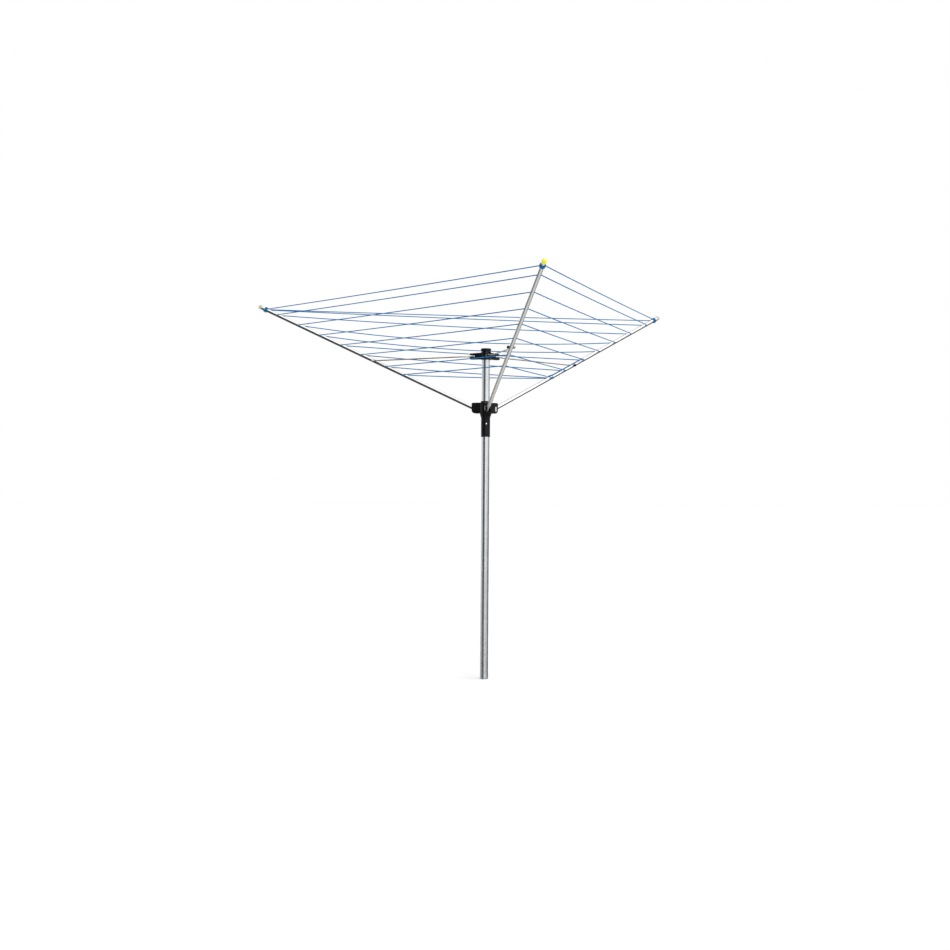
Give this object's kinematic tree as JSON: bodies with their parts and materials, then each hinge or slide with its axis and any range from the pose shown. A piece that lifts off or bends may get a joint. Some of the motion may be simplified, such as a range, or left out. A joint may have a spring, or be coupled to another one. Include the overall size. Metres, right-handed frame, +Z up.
{
  "type": "rotary clothesline",
  "caption": "Rotary clothesline: a turning pole with a top hub and a sliding runner that folds drilled arms on struts, with a line threaded in rows from arm to arm.",
  "frame": {"origin": "middle of the foot plug's flat lower face, on the pole's axis", "axes": "+Z up along the pole; -Y to the front, along the arm with the yellow cap; the second arm points right and back at 30 degrees from +X, the third left and back at 150 degrees"},
  "size_m": [2.101, 1.8224, 1.8197],
  "materials": {
    "galvanised_steel": "zinc-coated steel tube, satin",
    "arm_aluminium": "drawn aluminium tube, satin",
    "strut_steel": "plated steel rod, dull",
    "bright_steel": "bright plated steel",
    "black_plastic": "moulded, slightly glossy",
    "grey_plastic": "moulded, matt",
    "pale_plastic": "moulded, soft gloss",
    "yellow_plastic": "moulded, soft gloss",
    "blue_line": "plastic-sheathed cord"
  },
  "bodies": {
    "foot": {"foot_plug": "grey_plastic"},
    "mast": {"pole_tube": "galvanised_steel", "foot_bush": "black_plastic", "top_hub": "black_plastic", "top_cap": "black_plastic", "hub_screw": "bright_steel", "strut_pin_1": "bright_steel", "strut_pin_2": "bright_steel", "strut_pin_3": "bright_steel", "button_spring": "bright_steel"},
    "lock_button": {"lock_button": "bright_steel"},
    "runner": {"runner_hub": "black_plastic", "arm_pin_1": "bright_steel", "arm_pin_2": "bright_steel", "arm_pin_3": "bright_steel", "clothesline": "blue_line"},
    "arm_1": {"arm_tube_1": "arm_aluminium", "arm_root_1": "grey_plastic", "arm_cap_1": "yellow_plastic", "pivot_stud_1": "bright_steel", "pivot_nut_1": "black_plastic"},
    "strut_1": {"strut_rod_1": "strut_steel", "strut_rivet_1": "bright_steel"},
    "arm_2": {"arm_tube_2": "arm_aluminium", "arm_root_2": "grey_plastic", "arm_cap_2": "pale_plastic", "pivot_stud_2": "bright_steel", "pivot_nut_2": "black_plastic"},
    "strut_2": {"strut_rod_2": "strut_steel", "strut_rivet_2": "bright_steel"},
    "arm_3": {"arm_tube_3": "arm_aluminium", "arm_root_3": "grey_plastic", "arm_cap_3": "pale_plastic", "pivot_stud_3": "bright_steel", "pivot_nut_3": "black_plastic"},
    "strut_3": {"strut_rod_3": "strut_steel", "strut_rivet_3": "bright_steel"}
  },
  "joints": [
    {"name": "mast_spin", "type": "hinge", "parent": "foot", "child": "mast", "pos_m": [0, 0, 0.03], "axis": [0, 0, 1], "continuous": true},
    {"name": "runner_slide", "type": "slide", "parent": "mast", "child": "runner", "axis": [0, 0, -1], "range_m": [0, 0.8495], "deforming": ["clothesline"]},
    {"name": "arm_1_fold", "type": "hinge", "parent": "runner", "child": "arm_1", "pos_m": [0, -0.052, 1.283], "axis": [-1, 0, 0], "range_deg": [0, 62.9]},
    {"name": "strut_1_fold", "type": "hinge", "parent": "mast", "child": "strut_1", "pos_m": [0, -0.058, 1.534], "axis": [1, 0, 0], "range_deg": [0, 86.85]},
    {"name": "arm_2_fold", "type": "hinge", "parent": "runner", "child": "arm_2", "pos_m": [0.04503, 0.026, 1.283], "axis": [0.5, -0.866, 0], "range_deg": [0, 62.9]},
    {"name": "strut_2_fold", "type": "hinge", "parent": "mast", "child": "strut_2", "pos_m": [0.05023, 0.029, 1.534], "axis": [-0.5, 0.866, 0], "range_deg": [0, 86.85]},
    {"name": "arm_3_fold", "type": "hinge", "parent": "runner", "child": "arm_3", "pos_m": [-0.04503, 0.026, 1.283], "axis": [0.5, 0.866, 0], "range_deg": [0, 62.9]},
    {"name": "strut_3_fold", "type": "hinge", "parent": "mast", "child": "strut_3", "pos_m": [-0.05023, 0.029, 1.534], "axis": [-0.5, -0.866, 0], "range_deg": [0, 86.85]},
    {"name": "lock_button_press", "type": "slide", "parent": "mast", "child": "lock_button", "axis": [0, 1, 0], "range_m": [0, 0.005], "stiffness_N_per_m": 600, "springref_m": -0.002, "deforming": ["button_spring"]}
  ],
  "couplings": [
    {"joint": "arm_1_fold", "follows": "runner_slide", "rad_per_m": 1.2922},
    {"joint": "strut_1_fold", "follows": "runner_slide", "rad_per_m": 1.7838},
    {"joint": "arm_2_fold", "follows": "runner_slide", "rad_per_m": 1.2922},
    {"joint": "strut_2_fold", "follows": "runner_slide", "rad_per_m": 1.7838},
    {"joint": "arm_3_fold", "follows": "runner_slide", "rad_per_m": 1.2922},
    {"joint": "strut_3_fold", "follows": "runner_slide", "rad_per_m": 1.7838}
  ]
}
